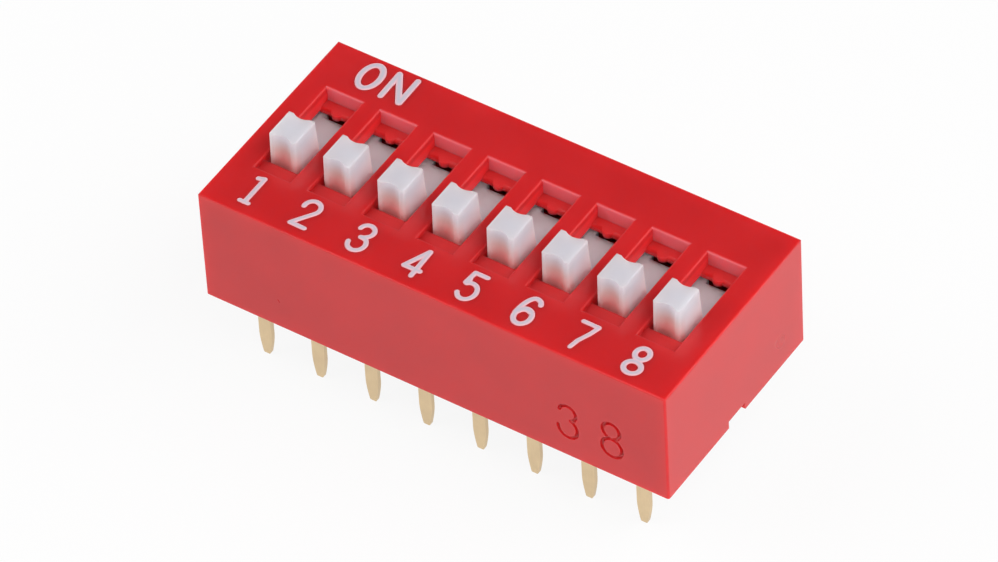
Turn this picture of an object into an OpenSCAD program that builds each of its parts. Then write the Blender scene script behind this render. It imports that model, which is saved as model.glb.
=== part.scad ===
// Slide-type DIP switch with raised, scalloped actuators and two rows of through-board pins.
// X runs along the positions, +Y points to the ON side, +Z points up.
// The origin is the centre of the pin field on the seating plane, where the case meets the board.
// All sizes are in millimetres. The sliders are drawn at their OFF stops.

/* [Positions] */
// Number of switch positions
positions = 8; // [2:1:12]
// Distance between neighbouring positions, and between neighbouring pins of a row
pitch = 2.54; // [2.4:0.01:3.2]
// Distance between the two rows of pins
row_spacing = 7.62; // [7:0.01:7.8]

/* [Case] */
// Width of the case across the rows
body_w = 9.96; // [9.8:0.02:13]
// Height of the case above the seating plane
body_h = 5.6; // [5.3:0.1:8]
// Case length beyond the outer pitch cell, at each end
end_margin = 0.66; // [0.55:0.01:1.5]
// Thickness of the long side walls
side_wall = 0.55; // [0.3:0.05:0.56]
// Thickness of the end walls
end_wall = 0.6; // [0.3:0.05:0.8]
// Thickness of the top wall
top_wall = 0.8; // [0.75:0.01:0.9]
// Radius on the outer edges of the case
edge_r = 0.1; // [0.05:0.01:0.4]
// Width of the notch in the foot of each end wall
notch_w = 1.2; // [0.8:0.05:3]
// Height of that notch
notch_h = 0.37; // [0.2:0.01:1]

/* [Windows] */
// Depth of the stepped ledge below the top of the case
ledge_depth = 0.7; // [0.5:0.02:0.74]
// Length of the ledge at each end of a window
ledge_l = 0.51; // [0.3:0.01:0.6]
// Thickness of the ledge
ledge_t = 0.26; // [0.2:0.01:0.4]
// Radius on the front edge of the ledge
ledge_r = 0.12; // [0.04:0.01:0.16]
// Depth of the OFF step's floor below the top of the case
stop_depth = 0.24; // [0.14:0.02:0.4]
// Radius on the edge around the top of each window
window_r = 0.09; // [0.02:0.01:0.12]
// Clearance between the tip of the ledge's nib and the bottom of the knob's scallop
nib_gap = 0.06; // [0.05:0.01:0.08]
// Clearance between the side of that nib and the edge of the scallop
nib_side_gap = 0.065; // [0.06:0.005:0.1]
// How far the nib stands off the middle of the window, towards position 1
nib_shift = 0.12; // [0:0.01:0.12]
// How far each edge of the slider plate lies under the window's side wall
cover_lap = 0.14; // [0.1:0.01:0.2]

/* [Sliders] */
// Stroke from OFF to ON
travel = 2.1; // [1.2:0.05:2.1]
// Width of the actuator knob
knob_w = 1.25; // [0.8:0.01:1.3]
// Length of the knob at its top, along the stroke
knob_l = 1.45; // [1:0.01:1.5]
// Height of the knob above the top of the case
knob_h = 1.28; // [0.2:0.02:2]
// Slope of the knob's face towards OFF, in degrees
draft_off = 1.7; // [0:0.1:3]
// Slope of the knob's face towards ON, in degrees
draft_on = 5.7; // [0:0.1:6]
// Width of the scallop in both of those faces
scallop_w = 0.82; // [0.6:0.01:1]
// Depth of the scallop
scallop_depth = 0.15; // [0.05:0.01:0.2]
// Radius of the knob's upright corners
corner_r = 0.09; // [0.03:0.01:0.12]
// Radius of the edges around the knob's top
crown_r = 0.06; // [0.02:0.01:0.1]
// Thickness of the plate that closes the window
plate_t = 0.7; // [0.4:0.02:0.9]
// Reach of the plate past the window's opening when the slider is at a stop
plate_lap = 0.1; // [0.05:0.01:0.12]
// Width of the notch in each end of the plate
plate_notch_w = 1.16; // [0.6:0.02:1.4]
// Depth of the notch, measured from the end of the plate
plate_notch_l = 0.27; // [0.1:0.01:0.3]
// Running gap between a slider and what guides it
slide_gap = 0.04; // [0.02:0.01:0.08]

/* [Contacts] */
// Width of the bridging contact
contact_w = 1.1; // [0.6:0.02:1.2]
// Thickness of its spring strip
contact_t = 0.12; // [0.08:0.01:0.2]
// Height of the contact from its feet to its seat in the slider
contact_h = 1.15; // [0.8:0.05:1.2]
// Distance from the contact's middle to each foot
foot_reach = 1.2; // [0.9:0.05:1.4]
// Radius of the rounded feet
foot_r = 0.2; // [0.14:0.01:0.3]
// Width of the slit that splits each leg in two
slit_w = 0.24; // [0.1:0.02:0.4]

/* [Terminals] */
// Width of a pin
pin_w = 0.6; // [0.4:0.01:0.8]
// Thickness of the terminal strip
pin_t = 0.2; // [0.15:0.01:0.3]
// Length of a pin below the seating plane
pin_l = 3.36; // [2.6:0.02:5]
// Length of the taper at the pin's end
taper_l = 1.1; // [0.8:0.05:2]
// Width of the pin just above its tip
tip_w = 0.3; // [0.15:0.01:0.38]
// Size of the broken corners of the tip
tip_break = 0.03; // [0.02:0.01:0.07]
// Width of a contact pad
pad_w = 1.2; // [0.8:0.05:1.6]
// Bare moulding between the two pads of a position
pad_gap = 0.6; // [0.4:0.05:0.8]
// Inner radius of the bend between pad and pin
bend_r = 0.1; // [0.05:0.01:0.15]

/* [Base] */
// Height of the base's floor above the seating plane
floor_z = 2.45; // [1.8:0.05:2.6]
// Thickness of the ribs between neighbouring sliders
rib_t = 0.5; // [0.3:0.02:0.6]
// Gap between the top of the end notches and the sealing resin
seal_step = 0.02; // [0.01:0.01:0.1]
// Thickness of the sealing resin
seal_t = 0.3; // [0.1:0.02:0.5]
// Assembly gap around the base and the terminals
fit_gap = 0.02; // [0.01:0.01:0.04]

/* [Hidden] */
$fn = 48;
eps = 0.01;
over = 1;

// Case
body_l = positions * pitch + 2 * end_margin;
cavity_l = body_l - 2 * end_wall;
cavity_w = body_w - 2 * side_wall;
ceiling_z = body_h - top_wall;

// Sliders, from the top down
plate_w = pitch - rib_t - 2 * slide_gap;
ledge_z1 = body_h - ledge_depth;
ledge_z0 = ledge_z1 - ledge_t;
plate_z1 = ledge_z0 - slide_gap;
plate_z0 = plate_z1 - plate_t;
knob_z1 = body_h + knob_h;
knob_drop = knob_z1 - plate_z1;
flare_off = knob_drop * tan(draft_off);
flare_on = knob_drop * tan(draft_on);
scallop_r = pow(scallop_w, 2) / (8 * scallop_depth) + scallop_depth / 2;
off_y = -travel / 2;

// Windows, sized by the knob that runs in them
window_w = plate_w - 2 * cover_lap;
opening_y = travel / 2 + knob_l / 2 + flare_on + slide_gap;
window_y = opening_y + ledge_l;
stop_y = travel / 2 + knob_l / 2 + flare_off + slide_gap;
nib_w = scallop_w - 2 * (nib_shift + nib_side_gap);
nib_l = slide_gap + scallop_depth - nib_gap;
nib_r = pow(nib_w, 2) / (8 * nib_l) + nib_l / 2;
lip_side = 0.1;
lip_back = 0.36;
plate_y = opening_y + travel / 2 + plate_lap;

// Base, contacts and terminals
seal_z0 = notch_h + seal_step;
base_z0 = seal_z0 + seal_t;
base_l = cavity_l - 2 * fit_gap;
base_w = cavity_w - 2 * fit_gap;
contact_z0 = floor_z + fit_gap;
contact_z1 = contact_z0 + contact_h;
pocket_gap = 0.05;
pocket_y = foot_reach + foot_r + pocket_gap;
skirt_end = 0.22;
skirt_z0 = floor_z + slide_gap;
pad_z0 = floor_z - pin_t;
pin_y = row_spacing / 2;
bend_y = pin_y - pin_t / 2 - bend_r;
bend_z = pad_z0 - bend_r;
foot_margin = 0.3;
front_pad_end = off_y + foot_reach + foot_margin;
back_pad_end = front_pad_end + pad_gap;

function slot_x(i) = (i - (positions + 1) / 2) * pitch;

// Terminals 1 to N are the OFF row, and the ON row is numbered back from the far end
function terminal_slot(n) = n <= positions ? n : 2 * positions + 1 - n;
function is_on_row(n) = n > positions;

// A box given by its lowest and highest corners
module block(low, high) {
    translate(low) cube(high - low);
}

// A box centred on x = 0, from y0 to y1 and z0 to z1
module bar(w, y0, y1, z0, z1) {
    block([-w / 2, y0, z0], [w / 2, y1, z1]);
}

// A profile drawn as (x, z), made w thick along Y and centred
module along_y(w) {
    translate([0, w / 2, 0]) rotate([90, 0, 0]) linear_extrude(w) children();
}

// A profile drawn as (y, z), made w thick along X and centred
module along_x(w) {
    translate([-w / 2, 0, 0]) rotate([90, 0, 90]) linear_extrude(w) children();
}

// Rectangle with all four corners rounded, centred
module rounded_rect(l, w, r) {
    square([l, w - 2 * r], center = true);
    square([l - 2 * r, w], center = true);
    for (x = [-1, 1], y = [-1, 1])
        translate([x * (l / 2 - r), y * (w / 2 - r)]) circle(r);
}

// Rectangle standing on the axis, with its two upper corners rounded
module arched_rect(l, h, r) {
    translate([-l / 2, 0]) square([l, h - r]);
    translate([-l / 2 + r, 0]) square([l - 2 * r, h]);
    for (x = [-1, 1])
        translate([x * (l / 2 - r), h - r]) circle(r);
}

// ---- Case ----

module case_outline() {
    intersection() {
        linear_extrude(body_h) rounded_rect(body_l, body_w, edge_r);
        along_y(body_w + over) arched_rect(body_l, body_h, edge_r);
        along_x(body_l + over) arched_rect(body_w, body_h, edge_r);
    }
}

// Mouth of a window with its edges rounded over; half is half the window's span
module mouth_profile(half) {
    steps = 4;
    arc = [for (k = [0:steps - 1]) let (a = 90 * k / steps)
        [half + window_r * (1 - cos(a)), body_h - window_r * (1 - sin(a))]];
    last = arc[steps - 1];
    rise = (body_h - last[1]) / (half + window_r - last[0]);
    top = [last[0] + (body_h + eps - last[1]) / rise, body_h + eps];
    right = concat([[half, body_h - window_r - eps]], arc, [top]);
    polygon(concat(right, [for (k = [len(right) - 1:-1:0]) [-right[k][0], right[k][1]]]));
}

// Side view of a window: open right through, with a ledge at each end whose front edge is rounded
module window_profile() {
    translate([-opening_y, plate_z1 - over]) square([2 * opening_y, ledge_depth + ledge_t + 2 * over]);
    translate([-window_y, ledge_z1]) square([2 * window_y, ledge_depth + over]);
    for (side = [0, 1])
        mirror([side, 0])
            difference() {
                translate([opening_y - eps, ledge_z1 - ledge_r]) square(ledge_r + eps);
                translate([opening_y + ledge_r, ledge_z1 - ledge_r]) circle(ledge_r);
            }
}

module window_cut() {
    along_x(window_w) window_profile();
    intersection() {
        along_y(2 * window_y + over) mouth_profile(window_w / 2);
        along_x(window_w + over) mouth_profile(window_y);
    }
}

// Material under the top wall that carries the ledges at both ends of a window
module ledge_lips() {
    for (side = [-1, 1])
        translate([0, side * (opening_y + (ledge_l + lip_back) / 2), 0])
            bar(window_w + 2 * lip_side, -(ledge_l + lip_back) / 2, (ledge_l + lip_back) / 2,
                ledge_z0, ceiling_z + eps);
}

// Shallow step in front of the knob that stops it at OFF, as wide as the window
module off_stop() {
    bar(window_w + 2 * eps, -window_y - lip_side, -stop_y, ledge_z0, body_h - stop_depth);
}

// Rounded nib on the ON ledge that enters the knob's scallop at ON
module ledge_nib() {
    translate([-nib_shift, opening_y - nib_l + nib_r, ledge_z0]) cylinder(h = ledge_t, r = nib_r);
}

module cover() {
    color([0.78, 0.12, 0.12]) {
        difference() {
            union() {
                difference() {
                    case_outline();
                    block([-cavity_l / 2, -cavity_w / 2, -over], [cavity_l / 2, cavity_w / 2, ceiling_z]);
                }
                for (i = [1:positions])
                    translate([slot_x(i), 0, 0]) ledge_lips();
            }
            for (i = [1:positions])
                translate([slot_x(i), 0, 0]) window_cut();
            block([-body_l, -notch_w / 2, -over], [body_l, notch_w / 2, notch_h]);
        }
        for (i = [1:positions])
            translate([slot_x(i), 0, 0]) {
                off_stop();
                ledge_nib();
            }
    }
}

// ---- Base ----

// Room in the base for one terminal, for a pin on the +Y side; pad_end is where its pad stops
module terminal_seat(pad_end) {
    bar(pad_w + 2 * fit_gap, pad_end - fit_gap, pin_y + pin_t / 2 + fit_gap, pad_z0, floor_z + over);
    bar(pad_w + 2 * fit_gap, bend_y - bend_r, pin_y + pin_t / 2 + fit_gap, bend_z - fit_gap, floor_z + over);
    bar(pin_w + 2 * fit_gap, pin_y - pin_t / 2 - fit_gap, pin_y + pin_t / 2 + fit_gap, -over, floor_z);
}

module base() {
    color([0.62, 0.08, 0.09])
        difference() {
            block([-base_l / 2, -base_w / 2, base_z0], [base_l / 2, base_w / 2, ceiling_z]);
            for (i = [1:positions])
                translate([slot_x(i), 0, 0]) {
                    bar(pitch - rib_t, -body_w, body_w, floor_z, body_h);
                    mirror([0, 1, 0]) terminal_seat(-front_pad_end);
                    terminal_seat(back_pad_end);
                }
        }
}

// ---- Sealing resin ----

module seal() {
    color([0.16, 0.13, 0.12])
        difference() {
            block([-base_l / 2, -base_w / 2, seal_z0], [base_l / 2, base_w / 2, base_z0]);
            for (i = [1:positions], side = [-1, 1])
                translate([slot_x(i), side * pin_y, 0])
                    bar(pin_w, -pin_t / 2, pin_t / 2, -over, body_h);
        }
}

// ---- Sliders ----

// Plan of the knob's face at y = 0, with rounded corners and the scallop, reaching back along -y
module face_outline() {
    difference() {
        union() {
            translate([-knob_w / 2, -2 * knob_l]) square([knob_w, 2 * knob_l - corner_r]);
            translate([-knob_w / 2 + corner_r, -2 * knob_l]) square([knob_w - 2 * corner_r, 2 * knob_l]);
            for (x = [-1, 1])
                translate([x * (knob_w / 2 - corner_r), -corner_r]) circle(corner_r);
        }
        translate([0, scallop_r - scallop_depth]) circle(scallop_r, $fn = 96);
    }
}

// The knob as one face bounds it; side is -1 towards OFF and 1 towards ON
module knob_side(side, draft) {
    translate([0, side * knob_l / 2, knob_z1])
        rotate([side * draft, 0, 0])
            mirror([0, side < 0 ? 1 : 0, 0])
                translate([0, 0, -2 * knob_drop]) linear_extrude(3 * knob_drop) face_outline();
}

module knob() {
    intersection() {
        knob_side(-1, draft_off);
        knob_side(1, draft_on);
        along_y(2 * knob_l)
            translate([0, plate_z1 - eps]) arched_rect(knob_w, knob_drop + eps, crown_r);
        along_x(knob_w + over)
            translate([0, plate_z1 - eps]) crown_profile();
    }
}

// Side view that rounds the top edges of both faces; below the rounding it stays clear of them
module crown_profile() {
    reach = 2 * knob_l;
    for (face = [[-1, draft_off], [1, draft_on]]) {
        side = face[0];
        inset = crown_r * tan(45 - face[1] / 2);
        polygon([
            [0, 0],
            [side * reach, 0],
            [side * (knob_l / 2 + inset * sin(face[1])), knob_drop + eps - inset * cos(face[1])],
            [side * (knob_l / 2 - inset), knob_drop + eps],
            [0, knob_drop + eps]
        ]);
        translate([side * (knob_l / 2 - inset), knob_drop + eps - crown_r]) circle(crown_r);
    }
}

module plate() {
    difference() {
        bar(plate_w, -plate_y, plate_y, plate_z0, plate_z1);
        for (side = [-1, 1])
            translate([0, side * plate_y, 0])
                bar(plate_notch_w, -plate_notch_l, plate_notch_l, plate_z0 - over, plate_z1 + over);
    }
}

// Block under the plate, with the pocket that carries the bridging contact
module skirt() {
    difference() {
        bar(plate_w, -pocket_y - skirt_end, pocket_y + skirt_end, skirt_z0, plate_z0 + eps);
        bar(contact_w + 2 * pocket_gap, -pocket_y, pocket_y, skirt_z0 - over, contact_z1);
    }
}

module slider(i) {
    color([0.9, 0.9, 0.9])
        translate([slot_x(i), off_y, 0]) {
            plate();
            skirt();
            knob();
        }
}

// ---- Bridging contacts ----

// Straight strip with round ends, from a to b
module strip(a, b) {
    d = b - a;
    n = [-d[1], d[0]] * contact_t / (2 * norm(d));
    polygon([a + n, a - n, b - n, b + n]);
    translate(a) circle(d = contact_t);
    translate(b) circle(d = contact_t);
}

// Side view of half the contact: crown, leg and the curled foot that glides on the pads
module contact_half(side) {
    curl_r = foot_r - contact_t / 2;
    foot = [side * foot_reach, contact_z0 + foot_r];
    knee = [side * foot_reach / 3, contact_z1 - contact_t / 2];
    strip([0, knee[1]], knee);
    strip(knee, foot - [side * curl_r, 0]);
    difference() {
        translate(foot) circle(foot_r);
        translate(foot) circle(foot_r - contact_t);
        translate([foot[0] - foot_r, foot[1]]) square(2 * foot_r);
    }
    translate(foot + [side * curl_r, 0]) circle(d = contact_t);
}

module contact(i) {
    color([0.85, 0.68, 0.36])
        translate([slot_x(i), off_y, 0])
            difference() {
                along_x(contact_w) {
                    contact_half(-1);
                    contact_half(1);
                }
                for (side = [-1, 1])
                    translate([0, side * foot_reach, 0])
                        bar(slit_w, -foot_reach / 2, foot_reach / 2, 0, contact_z1 - contact_t);
            }
}

// ---- Terminals ----

// Front view of a pin: straight, then narrowing in a long curve to a blunt tip
module pin_outline() {
    steps = 10;
    curve = [for (k = [0:steps]) let (u = k / steps) [
        pin_w / 2 - (pin_w - tip_w) / 2 * pow(u, 1.6),
        -pin_l + tip_break + (taper_l - tip_break) * (1 - u)
    ]];
    side = concat([[pin_w / 2, bend_z]], curve, [[tip_w / 2 - tip_break, -pin_l]]);
    polygon(concat(side, [for (k = [len(side) - 1:-1:0]) [-side[k][0], side[k][1]]]));
}

// Side view of the pad and of the bend that leads into the pin
module pad_profile(pad_end) {
    translate([pad_end, pad_z0]) square([bend_y - pad_end, pin_t]);
    intersection() {
        translate([bend_y, bend_z])
            difference() {
                circle(bend_r + pin_t);
                circle(bend_r);
            }
        translate([bend_y, bend_z]) square(bend_r + pin_t + eps);
    }
}

module terminal_shape(pad_end) {
    translate([0, pin_y, 0]) along_y(pin_t) pin_outline();
    along_x(pad_w) pad_profile(pad_end);
}

module terminal(n) {
    color([0.83, 0.72, 0.52])
        translate([slot_x(terminal_slot(n)), 0, 0])
            if (is_on_row(n)) terminal_shape(back_pad_end);
            else mirror([0, 1, 0]) terminal_shape(-front_pad_end);
}

cover();
base();
seal();
for (i = [1:positions]) slider(i);
for (i = [1:positions]) contact(i);
for (n = [1:2 * positions]) terminal(n);
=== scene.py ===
import math

import bmesh
import bpy
import numpy as np
from mathutils import Matrix, Vector


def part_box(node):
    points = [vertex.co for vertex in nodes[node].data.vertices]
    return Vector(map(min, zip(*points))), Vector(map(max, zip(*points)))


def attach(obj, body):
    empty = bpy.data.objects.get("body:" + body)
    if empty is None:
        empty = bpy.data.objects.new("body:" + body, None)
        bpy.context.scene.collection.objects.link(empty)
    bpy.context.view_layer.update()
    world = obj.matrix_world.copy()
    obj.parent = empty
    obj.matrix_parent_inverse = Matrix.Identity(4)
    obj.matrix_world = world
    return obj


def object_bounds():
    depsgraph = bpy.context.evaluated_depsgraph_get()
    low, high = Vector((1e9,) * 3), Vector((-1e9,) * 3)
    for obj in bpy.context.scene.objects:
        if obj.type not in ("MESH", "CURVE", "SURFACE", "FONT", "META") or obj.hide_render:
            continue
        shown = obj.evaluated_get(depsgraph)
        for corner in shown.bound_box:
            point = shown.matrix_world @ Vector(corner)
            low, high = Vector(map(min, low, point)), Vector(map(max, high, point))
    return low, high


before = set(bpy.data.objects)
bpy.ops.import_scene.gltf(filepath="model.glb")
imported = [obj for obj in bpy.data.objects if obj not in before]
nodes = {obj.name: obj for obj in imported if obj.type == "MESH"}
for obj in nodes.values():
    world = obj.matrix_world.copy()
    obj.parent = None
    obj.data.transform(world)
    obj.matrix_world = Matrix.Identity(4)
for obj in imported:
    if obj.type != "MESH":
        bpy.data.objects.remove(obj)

mm = 0.001
cadLow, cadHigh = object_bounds()
coverLow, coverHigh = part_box("cover")
switchCount = sum(name.startswith("slider_") for name in nodes)
slotX = [sum(corner.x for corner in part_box(f"slider_{i + 1}")) / 2 for i in range(switchCount)]


class Wire:  # one socket in a shader tree, so that node maths reads as plain sums
    def __init__(self, tree, socket=None):
        self.tree, self.socket = tree, socket

    def make(self, kind, settings=None, inputs=None, output=0):
        node = self.tree.nodes.new(kind)
        for key, value in (settings or {}).items():
            setattr(node, key, value)
        for key, value in (inputs or {}).items():
            if isinstance(value, Wire):
                self.tree.links.new(value.socket, node.inputs[key])
            else:
                node.inputs[key].default_value = value
        return Wire(self.tree, node.outputs[output] if len(node.outputs) else None)

    def maths(self, operation, *terms):
        return self.make("ShaderNodeMath", {"operation": operation}, dict(enumerate(terms)))

    def __add__(self, other): return self.maths("ADD", self, other)
    def __radd__(self, other): return self.maths("ADD", other, self)
    def __sub__(self, other): return self.maths("SUBTRACT", self, other)
    def __rsub__(self, other): return self.maths("SUBTRACT", other, self)
    def __mul__(self, other): return self.maths("MULTIPLY", self, other)
    def __rmul__(self, other): return self.maths("MULTIPLY", other, self)
    def __truediv__(self, other): return self.maths("DIVIDE", self, other)

    def clamp(self, low, high):  # 0 at low, 1 at high, straight between them
        return self.make("ShaderNodeMapRange", {}, {0: self, 1: low, 2: high, 3: 0.0, 4: 1.0})

    def magnitude(self): return self.maths("ABSOLUTE", self)
    def part(self): return self.maths("FRACT", self)  # what is left after whole numbers

    def mix(self, colourA, colourB):  # this wire is the factor
        return self.make("ShaderNodeMix", {"data_type": "RGBA"}, {0: self, 6: colourA, 7: colourB}, 2)


def linear(red, green, blue):  # a colour given as 0 to 255 values
    def one(level):
        level /= 255
        return level / 12.92 if level <= 0.04045 else ((level + 0.055) / 1.055) ** 2.4
    return (one(red), one(green), one(blue), 1.0)


def newFinish(name):
    material = bpy.data.materials.new(name)
    material.use_nodes = True
    material.node_tree.nodes.clear()
    return material, Wire(material.node_tree)


def finishSurface(start, shader):
    start.make("ShaderNodeOutputMaterial", {}, {"Surface": shader})


def noise(start, place, size, detail):  # size is one feature's size in metres
    return start.make("ShaderNodeTexNoise", {"noise_dimensions": "3D"}, {
        "Vector": place,
        "Scale": 1 / size,
        "Detail": detail,
        "Roughness": 0.5,
    })


def bumped(start, height, strength, depth):
    return start.make("ShaderNodeBump", {}, {"Strength": strength, "Distance": depth, "Height": height})


def objectPlace(start):
    return start.make("ShaderNodeTexCoord", {}, {}, "Object")


moulding = {  # what the plastics share, unless one has its own
    "roughnessSpread": 0.06,
    "grainStrength": 0.5,
    "refraction": 1.5,
    "shine": 0.5,
    "scatterWeight": 1.0,
    "scatterRadius": (1.0, 0.25, 0.2),  # for red, green and blue, in shares of the scatter
}

# Where two values stand in brackets, a mask is 0 at the first and 1 at the second
coverLook = {
    "base": linear(213, 39, 43),
    "deep": linear(197, 32, 36),
    "roughness": 0.26,
    "grain": 0.09 * mm,
    "grainDepth": 0.0009 * mm,
    "mottle": 2.6 * mm,
    "scatter": 0.9 * mm,
    "endX": (1.1 * mm, 1.0 * mm),  # past the middle of an outer window, so the ends of the cover stay plain
    "mattEndAndPaintedLight": linear(228, 112, 120),  # the ON walls of the windows come out of the mould matt; their paler, pinker colour is painted light on walls that stand in shade
    "mattEndRoughness": 0.35,  # more than outside
    "endWallFront": (2.536 * mm, 2.54 * mm),
    "endWallBack": (2.66 * mm, 2.64 * mm),
    "endWallTop": (0.0, -0.03 * mm),  # heights here are from the top of the cover
    "endWallFoot": (-0.72 * mm, -0.68 * mm),
    "windowWallLight": linear(231, 47, 50),  # inside the windows the walls are thin; their brighter red is painted light, standing in for the light that comes through them
    "windowLightFront": (-1.95 * mm, -1.75 * mm),
    "windowLightTop": (-0.2 * mm, -0.36 * mm),
    "windowRoughness": 0.2,  # more than outside
    "windowFront": (-2.8 * mm, -2.6 * mm),
    "windowTop": (-0.004 * mm, -0.0072 * mm),
    "windowBack": (2.7 * mm, 2.66 * mm),
}


def axis(start, place, which):  # 0, 1 or 2 for x, y or z
    return start.make("ShaderNodeSeparateXYZ", {}, {0: place}, which)


def rise(height, pair):  # a mask between two heights, given from the top of the cover
    return height.clamp(coverHigh.z + pair[0], coverHigh.z + pair[1])


def betweenEnds(start, place, look):  # 1 along the row of windows, 0 at the ends of the cover
    return axis(start, place, 0).magnitude().clamp(*(slotX[-1] + reach for reach in look["endX"]))


def endWall(start, place, look):  # 1 on the upright wall at the ON end of every window
    y, z = axis(start, place, 1), axis(start, place, 2)
    along = y.clamp(*look["endWallFront"]) * y.clamp(*look["endWallBack"])
    return along * rise(z, look["endWallTop"]) * rise(z, look["endWallFoot"]) * betweenEnds(start, place, look)


def windowWall(start, place, look, front, top):  # 1 on the walls of the windows, from front and top on
    y, z = axis(start, place, 1), axis(start, place, 2)
    along = y.clamp(*look["windowBack"]) * y.clamp(*look[front])
    return along * betweenEnds(start, place, look) * rise(z, look[top])


def knobShades(start, place, look):  # masks of painted light and shade: lighter down a knob, shade on its scalloped end, and red light at the foot of that end
    x, y, z = (axis(start, place, k) for k in (0, 1, 2))
    pitch = slotX[1] - slotX[0]
    offMiddle = ((x - slotX[0]) / pitch + 0.5).part() - 0.5  # 0 along the middle of every knob
    groove = (offMiddle.magnitude() * pitch).clamp(*look["grooveX"])
    end = y.clamp(*look["endY"])
    low = rise(z, look["lowZ"])
    foot = rise(z - look["grooveRise"] * groove, look["footZ"])
    foot = foot * (look["footEven"] + (1 - look["footEven"]) * foot) * rise(z, look["abovePlate"])
    foot = foot * (look["footSides"] + (1 - look["footSides"]) * end)
    scallop = end * (look["scallopSides"] + (1 - look["scallopSides"]) * groove) * rise(z, look["scallopZ"])
    return low, scallop, foot


def mouldedPlastic(name, look):
    look = moulding | look
    material, start = newFinish(name)
    place = objectPlace(start)
    mottle = noise(start, place, look["mottle"], 1.0)
    grain = noise(start, place, look["grain"], 2.0)
    colour = mottle.mix(look["deep"], look["base"])
    roughness = look["roughness"] + look["roughnessSpread"] * mottle
    # painted light: a brighter red on the walls inside the windows; the extra roughness there is their own
    # finish
    if "windowWallLight" in look:
        colour = windowWall(start, place, look, "windowLightFront", "windowLightTop").mix(colour, look["windowWallLight"])
        inside = windowWall(start, place, look, "windowFront", "windowTop")
        roughness = roughness + look["windowRoughness"] * inside
    # painted light: the ON end walls of the windows get a paler, pinker colour, and they are also made matt
    if "mattEndAndPaintedLight" in look:
        mattEndAndPaintedLight = endWall(start, place, look)
        colour = mattEndAndPaintedLight.mix(colour, look["mattEndAndPaintedLight"])
        roughness = roughness + look["mattEndRoughness"] * mattEndAndPaintedLight
    # painted light and shade on the knobs: lighter lower sides, shade in the scallops and red light at their
    # feet
    if "foot" in look:
        low, scallop, foot = knobShades(start, place, look)
        colour = low.mix(colour, look["low"])
        colour = scallop.mix(colour, look["scallop"])
        colour = foot.mix(colour, look["foot"])
        # painted light: the plate deep in the windows gets a paler, bluer colour
        colour = rise(axis(start, place, 2), look["plateTop"]).mix(colour, look["plate"])
    shader = start.make("ShaderNodeBsdfPrincipled", {"subsurface_method": "RANDOM_WALK"}, {
        "Base Color": colour,
        "Roughness": roughness,
        "IOR": look["refraction"],
        "Specular IOR Level": look["shine"],
        "Normal": bumped(start, grain, look["grainStrength"], look["grainDepth"]),
        "Subsurface Weight": look["scatterWeight"],
        "Subsurface Radius": look["scatterRadius"],
        "Subsurface Scale": look["scatter"],
    })
    finishSurface(start, shader)
    return material


baseLook = {
    "base": linear(225, 40, 44),
    "deep": linear(215, 36, 40),
    "roughness": 0.4,
    "grain": 0.09 * mm,
    "grainDepth": 0.0009 * mm,
    "mottle": 2.6 * mm,
    "scatter": 0.9 * mm,
}

sliderLook = {
    "base": linear(194, 197, 206),
    "deep": linear(188, 191, 200),
    "low": linear(222, 216, 220),  # painted light: the knobs are painted lighter down their sides, standing in for light they pass down from their tops
    "lowZ": (0.9 * mm, -0.2 * mm),  # heights here are from the top of the cover too
    # painted shade in the scalloped end of every knob
    "scallop": linear(180, 172, 164),
    "scallopZ": (1.15 * mm, 0.5 * mm),
    "scallopSides": 0.45,  # share of it on the corners beside the scallop
    "grooveX": (0.6 * mm, 0.1 * mm),  # from the middle of a knob
    "grooveRise": 0.15 * mm,  # the tint of the foot stands that much higher in the scallop
    "endY": (-1.35 * mm, -1.75 * mm),  # the end towards the numbers
    "foot": linear(255, 146, 144),  # painted light: red light from the case around the knobs, painted into their feet
    "footZ": (0.9 * mm, -0.22 * mm),
    "footEven": 0.2,  # 1 is a straight fade, 0 one that starts slowly
    "footSides": 0.3,  # share of it away from that end
    "abovePlate": (-1.0 * mm, -0.5 * mm),
    # painted light: the top of the plate, deep in the windows, is painted paler and bluer than the knobs
    "plate": linear(238, 229, 255),
    "plateTop": (-0.88 * mm, -0.98 * mm),
    "roughness": 0.6,
    "shine": 0.2,
    "grain": 0.07 * mm,
    "grainDepth": 0.0008 * mm,
    "mottle": 1.1 * mm,
    "scatter": 3.0 * mm,
    "scatterRadius": (1.0, 0.95, 0.95),
}

resinLook = {
    "base": linear(74, 52, 40),
    "deep": linear(48, 34, 28),
    "roughness": 0.3,
    "grain": 0.25 * mm,
    "grainDepth": 0.004 * mm,
    "mottle": 1.8 * mm,
    "scatter": 0.1 * mm,
    "scatterWeight": 0.1,
}

pinLook = {
    "plate": linear(235, 212, 173),
    "worn": linear(219, 194, 156),
    "patch": 0.7 * mm,
    "patchRange": (0.35, 0.7),
    "streakShare": 0.4,  # of the colour's changes, and the patches have the rest
    "roughness": 0.36,
    "roughnessSpread": 0.12,
    "streak": 0.05 * mm,
    "streakLength": 0.9 * mm,
    "streakDepth": 0.0006 * mm,
    "streakStrength": 0.5,
}

contactLook = dict(pinLook, plate=linear(232, 196, 120), worn=linear(210, 172, 104), roughness=0.25)


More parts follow.
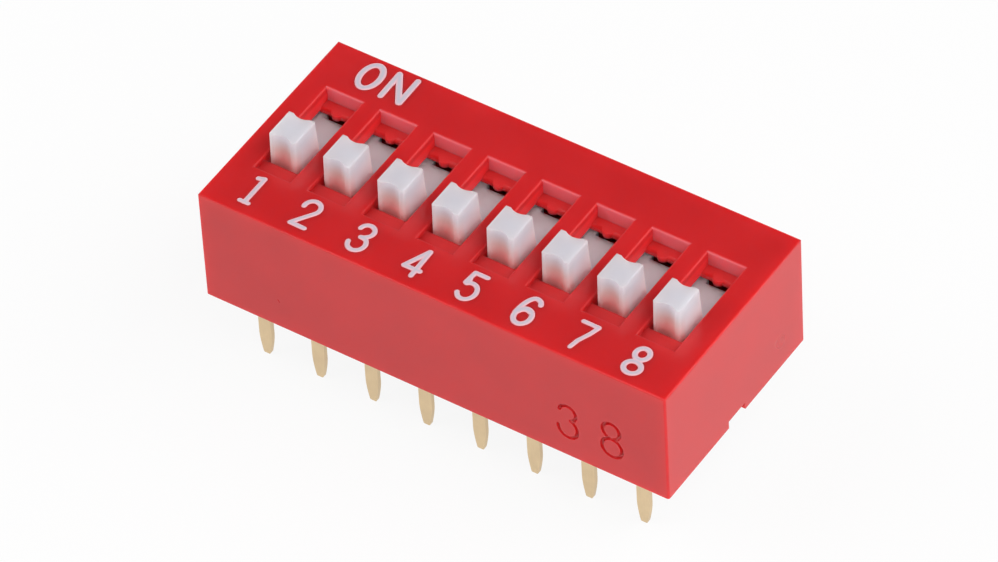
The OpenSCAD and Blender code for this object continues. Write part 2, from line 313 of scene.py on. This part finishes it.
def platedMetal(name, look):
    material, start = newFinish(name)
    place = objectPlace(start)
    drawn = start.make("ShaderNodeMapping", {}, {
        "Vector": place,
        "Scale": (1 / look["streak"], 1 / look["streak"], 1 / look["streakLength"]),
    })
    streak = start.make("ShaderNodeTexNoise", {}, {"Vector": drawn, "Scale": 1.0, "Detail": 3.0})
    patch = noise(start, place, look["patch"], 3.0).clamp(*look["patchRange"])
    shade = patch * (1 - look["streakShare"]) + streak * look["streakShare"]
    shader = start.make("ShaderNodeBsdfPrincipled", {}, {
        "Base Color": shade.mix(look["worn"], look["plate"]),
        "Metallic": 1.0,
        "Roughness": look["roughness"] + look["roughnessSpread"] * patch,
        "Normal": bumped(start, streak, look["streakStrength"], look["streakDepth"]),
    })
    finishSurface(start, shader)
    return material


inkLook = {
    "body": linear(198, 190, 203),
    "rim": linear(242, 190, 198),
    "roughness": 0.42,
    "roughnessSpread": 0.1,
    "pebble": 0.06 * mm,
    "pebbleDepth": 0.004 * mm,
    "pebbleStrength": 0.6,
}


def printedInk(name, look):
    material, start = newFinish(name)
    place = objectPlace(start)
    rim = start.make("ShaderNodeAttribute", {"attribute_name": "rim"}, {}, "Fac")
    pebble = noise(start, place, look["pebble"], 2.0)
    shader = start.make("ShaderNodeBsdfPrincipled", {}, {
        "Base Color": rim.mix(look["body"], look["rim"]),
        "Roughness": look["roughness"] + look["roughnessSpread"] * pebble,
        "Normal": bumped(start, pebble, look["pebbleStrength"], look["pebbleDepth"]),
    })
    finishSurface(start, shader)
    return material


finishes = {
    "cover_plastic": mouldedPlastic("redMoulding", coverLook),
    "base_plastic": mouldedPlastic("darkRedMoulding", baseLook),
    "slider_plastic": mouldedPlastic("whiteMoulding", sliderLook),
    "resin": mouldedPlastic("sealingResin", resinLook),
    "terminal_metal": platedMetal("palePlating", pinLook),
    "contact_metal": platedMetal("springPlating", contactLook),
}
ink = printedInk("whiteInk", inkLook)

for piece in nodes.values():
    slot = piece.material_slots[0].material.name.split(".")[0]
    piece.material_slots[0].material = finishes[slot]
print(f"finishes: {len(finishes)} on {len(nodes)} CAD nodes")


def arc(centreX, centreY, radiusX, radiusY, startAngle, endAngle):  # a point every 9 degrees or less
    steps = max(4, math.ceil(abs(endAngle - startAngle) / 9))
    turns = [math.radians(startAngle + (endAngle - startAngle) * k / steps) for k in range(steps + 1)]
    return [(centreX + radiusX * math.cos(a), centreY + radiusY * math.sin(a)) for a in turns]


def ring(centreX, centreY, radiusX, radiusY):
    return arc(centreX, centreY, radiusX, radiusY, 0, 360)


# Each sign is a list of (stroke width, points), in millimetres about the middle of its line
signs = {
    "1": [(0.21, [(-0.25, 0.64), (0, 0.72), (0, -0.71)]), (0.19, [(-0.23, -0.71), (0.18, -0.71)])],
    "2": [(0.21, arc(-0.07, 0.37, 0.345, 0.36, 190, -35) + [(-0.39, -0.71), (0.28, -0.72)])],
    "3": [(0.21, arc(-0.06, 0.4, 0.31, 0.32, 175, -45) + [(0.03, 0.06), (-0.1, 0.02)]),
          (0.21, [(-0.1, 0.02)] + arc(-0.05, -0.34, 0.36, 0.39, 62, -172))],
    "4": [(0.22, [(0.16, 0.71), (0.19, -0.72)]), (0.22, [(0.14, 0.71), (-0.36, -0.38), (0.37, -0.37)])],
    "5": [(0.21, [(0.3, 0.68), (-0.27, 0.68), (-0.33, 0.07)] + arc(-0.02, -0.31, 0.37, 0.45, 130, -150)),
          (0.2, [(-0.28, 0.35), (-0.2, 0.08)])],
    "6": [(0.22, arc(0.02, 0.42, 0.3, 0.3, 15, 90)), (0.22, arc(0.02, -0.3, 0.38, 1.02, 90, 180)),
          (0.23, ring(0.01, -0.34, 0.345, 0.42)), (0.25, arc(0.01, -0.32, 0.33, 0.36, 60, 160))],
    "7": [(0.2, [(-0.35, 0.64), (0.34, 0.64)]),
          (0.2, [(0.35, 0.62), (0.21, 0.16), (-0.01, -0.34), (-0.09, -0.76)])],
    "8": [(0.23, ring(-0.01, 0.31, 0.29, 0.31)), (0.23, ring(0.01, -0.47, 0.35, 0.32))],
    "O": [(0.25, ring(0, 0, 0.42, 0.69)), (0.23, ring(-0.012, -0.02, 0.405, 0.675))],
    "N": [(0.25, [(-0.42, 0.7), (-0.4, -0.7)]), (0.27, [(-0.4, 0.68), (0.42, -0.66)]),
          (0.26, [(0.44, 0.72), (0.46, -0.66)])],
}
toolSigns = {  # plain digits cut by the mould, thinner and taller
    "3": [arc(0, 0.4, 0.38, 0.4, 165, -55) + [(0.12, 0.03)],
          [(0.12, 0.03)] + arc(-0.01, -0.45, 0.44, 0.5, 65, -185)],
    "8": [ring(0, 0.48, 0.39, 0.42), ring(0.01, -0.45, 0.46, 0.49)],
}

lettering = {
    "digitSetback": 1.32 * mm,  # middle of the digits, from the front face
    "wordSetback": 1.04 * mm,  # middle of the word, from the back face
    "digitShift": -0.1 * mm,
    "wordStart": 0.31 * mm,  # middle of the O, from the first window
    "letterPitch": 1.33 * mm,
    "cell": 0.022,  # widths and gaps across a stroke are in millimetres, like the strokes
    "gap": 0.024,
    "rimWidth": 0.1,
    "crownWidth": 0.09,
    "recess": 0.06 * mm,
    "inkDip": 0.012 * mm,  # how far the ink's edge lies below the face
    "inkCrown": 0.02 * mm,
    "sharpAngle": 50,
}
toolMarks = {
    "text": "38",
    "firstX": 4.56 * mm,  # from the right end to the middle of the first digit
    "pitch": 2.0 * mm,
    "middle": 1.98 * mm,  # above the foot of the case
    "width": 0.17,  # in millimetres
    "depth": 0.13 * mm,
}
cutting = {
    "above": 0.1 * mm,  # how far a cutter stands out of the cover
    "coarser": 2,  # cells of the recesses, against those of the ink
    "weld": 0.0005 * mm,
}


def strokeDistance(points, strokes):  # signed distance in millimetres, negative inside a stroke
    best = np.full(points.shape[:-1], 9.0)  # further than any stroke
    for width, path in strokes:
        for a, b in zip(np.array(path[:-1]), np.array(path[1:])):
            along = np.clip((points - a) @ (b - a) / max((b - a) @ (b - a), 1e-12), 0, 1)
            gap = np.linalg.norm(points - a - along[..., None] * (b - a), axis=-1)
            best = np.minimum(best, gap - width / 2)
    return best


def reliefSolid(strokes, grow, cell, top, bottom):  # a slab in the outline of the strokes, with shaped skins
    reach = max(width for width, path in strokes) / 2 + grow + 2 * cell
    corners = np.array([point for width, path in strokes for point in path])
    low, high = corners.min(0) - reach, corners.max(0) + reach
    count = np.ceil((high - low) / cell).astype(int) + 1
    grid = np.stack(np.meshgrid(*[low[k] + cell * np.arange(count[k]) for k in (0, 1)], indexing="ij"), -1)
    depth = strokeDistance(grid, strokes) - grow
    mesh = bmesh.new()
    rim = mesh.verts.layers.float.new("rim")
    skins = [{}, {}]

    def skinVertex(side, key, point, away):
        if key not in skins[side]:
            height = (top, bottom)[side](away)
            vertex = mesh.verts.new((point[0] * mm, point[1] * mm, height))
            vertex[rim] = max(0.0, 1 + away / lettering["rimWidth"])
            skins[side][key] = vertex
        return skins[side][key]

    edges = set()
    inside = depth < 0
    used = inside[:-1, :-1] | inside[1:, :-1] | inside[:-1, 1:] | inside[1:, 1:]
    for i, j in np.argwhere(used):
        loop = []
        square = [(i, j), (i + 1, j), (i + 1, j + 1), (i, j + 1)]
        for a, b in zip(square, square[1:] + square[:1]):
            if inside[a]:
                loop.append((a, grid[a], depth[a]))
            if inside[a] != inside[b]:  # the outline crosses this side of the square
                share = depth[a] / (depth[a] - depth[b])
                loop.append((tuple(sorted((a, b))), grid[a] + share * (grid[b] - grid[a]), 0.0))
        mesh.faces.new([skinVertex(0, *spot) for spot in loop])
        mesh.faces.new([skinVertex(1, *spot) for spot in reversed(loop)])
        keys = [spot[0] for spot in loop]
        for a, b in zip(keys, keys[1:] + keys[:1]):
            if (b, a) in edges:
                edges.remove((b, a))
            else:
                edges.add((a, b))
    for a, b in sorted(edges, key=str):
        mesh.faces.new([skins[0][b], skins[0][a], skins[1][a], skins[1][b]])
    bmesh.ops.remove_doubles(mesh, verts=mesh.verts, dist=cell * mm * 0.02)
    return mesh


def meshPiece(name, mesh, place, material=None, smoothAngle=None):
    data = bpy.data.meshes.new(name)
    mesh.transform(place)
    mesh.to_mesh(data)
    mesh.free()
    piece = bpy.data.objects.new(name, data)
    bpy.context.scene.collection.objects.link(piece)
    if material:
        data.materials.append(material)
    if smoothAngle:
        data.shade_smooth()
        data.set_sharp_from_angle(angle=smoothAngle)
    return piece


def inkTop(away):  # ink stands a little proud in the middle of a stroke and sinks at its edge
    share = min(1.0, -away / lettering["crownWidth"])
    return -lettering["inkDip"] + lettering["inkCrown"] * math.sqrt(1 - (1 - share) ** 2)


def flat(height):
    return lambda away: height


def grooveFloor(away):
    share = min(1.0, -away / (toolMarks["width"] / 2))
    return -toolMarks["depth"] * math.sqrt(1 - (1 - share) ** 2)


topZ, frontY, backY = coverHigh.z, coverLow.y, coverHigh.y
wordX, wordY = slotX[0] + lettering["wordStart"], backY - lettering["wordSetback"]
words = [("letter_" + letter.lower(), letter, wordX + k * lettering["letterPitch"], wordY)
         for k, letter in enumerate("ON")]
digits = [(f"digit_{i + 1}", str(i + 1), x + lettering["digitShift"], frontY + lettering["digitSetback"])
          for i, x in enumerate(slotX)]
cutters = []
cell, coarseCell = lettering["cell"], lettering["cell"] * cutting["coarser"]
outside, recessFloor = flat(cutting["above"]), flat(-lettering["recess"])
for name, sign, x, y in words + digits:
    place = Matrix.Translation((x, y, topZ))
    fill = reliefSolid(signs[sign], 0, cell, inkTop, recessFloor)
    piece = meshPiece(name, fill, place, ink, math.radians(lettering["sharpAngle"]))
    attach(piece, "case")
    recess = reliefSolid(signs[sign], lettering["gap"], coarseCell, outside, recessFloor)
    cutters.append(meshPiece("cut_" + name, recess, place))
print(f"lettering: {len(words) + len(digits)} signs filled with ink")

facing = Matrix.Rotation(math.pi / 2, 4, "X")  # drawn upright, looking out of the front face
for k, sign in enumerate(toolMarks["text"]):
    x = coverHigh.x - toolMarks["firstX"] + k * toolMarks["pitch"]
    place = Matrix.Translation((x, frontY, coverLow.z + toolMarks["middle"])) @ facing
    strokes = [(toolMarks["width"], path) for path in toolSigns[sign]]
    groove = reliefSolid(strokes, 0, cell, outside, grooveFloor)
    cutters.append(meshPiece(f"cut_mark_{k + 1}", groove, place))

# The imported faces share no corners until this joins them
weld = nodes["cover"].modifiers.new("weld", "WELD")
weld.merge_threshold = cutting["weld"]
for cutter in cutters:
    cutter.hide_render = True
    cutter.hide_viewport = True
    cut = nodes["cover"].modifiers.new(cutter.name, "BOOLEAN")
    cut.operation, cut.solver, cut.object = "DIFFERENCE", "EXACT", cutter
print(f"cover: {len(cutters)} recesses cut")


stageLook = {
    "size": 3.0,
    "paper": linear(240, 240, 240),
    "paperDark": linear(234, 234, 234),
    "fibre": 2 * mm,
    "fibreRange": (0.3, 0.7),
    "fibreShare": 0.15,  # how much of the darker paper shows
    "glow": 0.9,  # share of plain white that the camera sees
    "sheen": 0.74,  # share of plain white that reflections see
    "skyLow": 1.04,  # light from the horizon
    "skyHigh": 0.05,  # and from above
    "skyRange": (0.05, 0.6),  # heights between which it changes, where 1 is straight up
}


def lightPath(start, kind):
    return start.make("ShaderNodeLightPath", {}, {}, f"Is {kind} Ray")


def floorFinish(look):
    material, start = newFinish("palePaper")
    place = objectPlace(start)
    fibre = noise(start, place, look["fibre"], 3.0).clamp(*look["fibreRange"])
    paper = start.make("ShaderNodeBsdfDiffuse", {}, {
        "Color": (look["fibreShare"] * fibre).mix(look["paper"], look["paperDark"]),
    })
    glow = start.make("ShaderNodeEmission", {}, {"Color": (1, 1, 1, 1), "Strength": 1.0})
    reflected = (lightPath(start, "Glossy") + lightPath(start, "Transmission")).clamp(0, 1)
    seen = lightPath(start, "Camera") * look["glow"] + reflected * look["sheen"]
    finishSurface(start, start.make("ShaderNodeMixShader", {}, {0: seen, 1: paper, 2: glow}))
    return material


def makeFloor():
    half = stageLook["size"] / 2
    mesh = bmesh.new()
    corners = [mesh.verts.new((x * half, y * half, 0)) for x, y in ((-1, -1), (1, -1), (1, 1), (-1, 1))]
    mesh.faces.new(corners)
    floor = meshPiece("floor", mesh, Matrix.Translation((0, 0, cadLow.z)), floorFinish(stageLook))


def makeWorld():
    world = bpy.data.worlds.new("studio")
    world.use_nodes = True
    world.node_tree.nodes.clear()
    start = Wire(world.node_tree)
    direction = start.make("ShaderNodeTexCoord", {}, {}, "Generated")
    level = axis(start, direction, 2).clamp(*stageLook["skyRange"])
    sky = stageLook["skyLow"] + (stageLook["skyHigh"] - stageLook["skyLow"]) * level
    fromCamera = lightPath(start, "Camera")
    strength = fromCamera + (1 - fromCamera) * sky
    back = start.make("ShaderNodeBackground", {}, {"Color": (1, 1, 1, 1), "Strength": strength})
    start.make("ShaderNodeOutputWorld", {}, {"Surface": back})
    bpy.context.scene.world = world


lamps = {  # name: azimuth and elevation seen from the switch, distance, size, strength
    "right": (60, 51, 0.5, 0.5, 0.54),
    "rightBack": (120, 45, 0.5, 0.4, 0.47),
    "left": (-60, 45, 0.5, 0.4, 0.39),
}


def aimed(azimuth, elevation, distance, aim, roll=0.0):  # a matrix that looks back at aim from there
    a, e = math.radians(azimuth), math.radians(elevation)
    back = Vector((math.sin(a) * math.cos(e), -math.cos(a) * math.cos(e), math.sin(e)))
    turn = (-back).to_track_quat("-Z", "Y").to_matrix().to_4x4()
    turn = turn @ Matrix.Rotation(math.radians(roll), 4, "Z")
    return Matrix.Translation(Vector(aim) + back * distance) @ turn


def makeLamps():
    middle = (cadLow + cadHigh) / 2
    for name, (azimuth, elevation, distance, size, strength) in lamps.items():
        lamp = bpy.data.lights.new(name, "AREA")
        lamp.shape, lamp.size = "DISK", size
        lamp.energy = strength * math.pi ** 2 * distance ** 2  # strength is the level at the switch
        holder = bpy.data.objects.new(name, lamp)
        holder.matrix_world = aimed(azimuth, elevation, distance, middle)
        bpy.context.scene.collection.objects.link(holder)


camera = {
    "azimuth": 35.522,
    "elevation": 46.018,
    "roll": -3.4965,
    "distance": 332.25 * mm,
    "aim": (0.359 * mm, -0.703 * mm, 2.8 * mm),
    "lens": 306.5,
    "sensor": 36.0,
    "clip": (0.01, 20.0),
}


def makeCamera():
    data = bpy.data.cameras.new("camera")
    data.lens, data.sensor_width = camera["lens"], camera["sensor"]
    data.clip_start, data.clip_end = camera["clip"]
    holder = bpy.data.objects.new("camera", data)
    direction = camera["azimuth"], camera["elevation"]
    holder.matrix_world = aimed(*direction, camera["distance"], camera["aim"], camera["roll"])
    bpy.context.scene.collection.objects.link(holder)
    bpy.context.scene.camera = holder


makeFloor()
makeWorld()
makeLamps()
makeCamera()
bpy.context.scene.view_settings.view_transform = "Standard"
print("stage, light and camera are set")
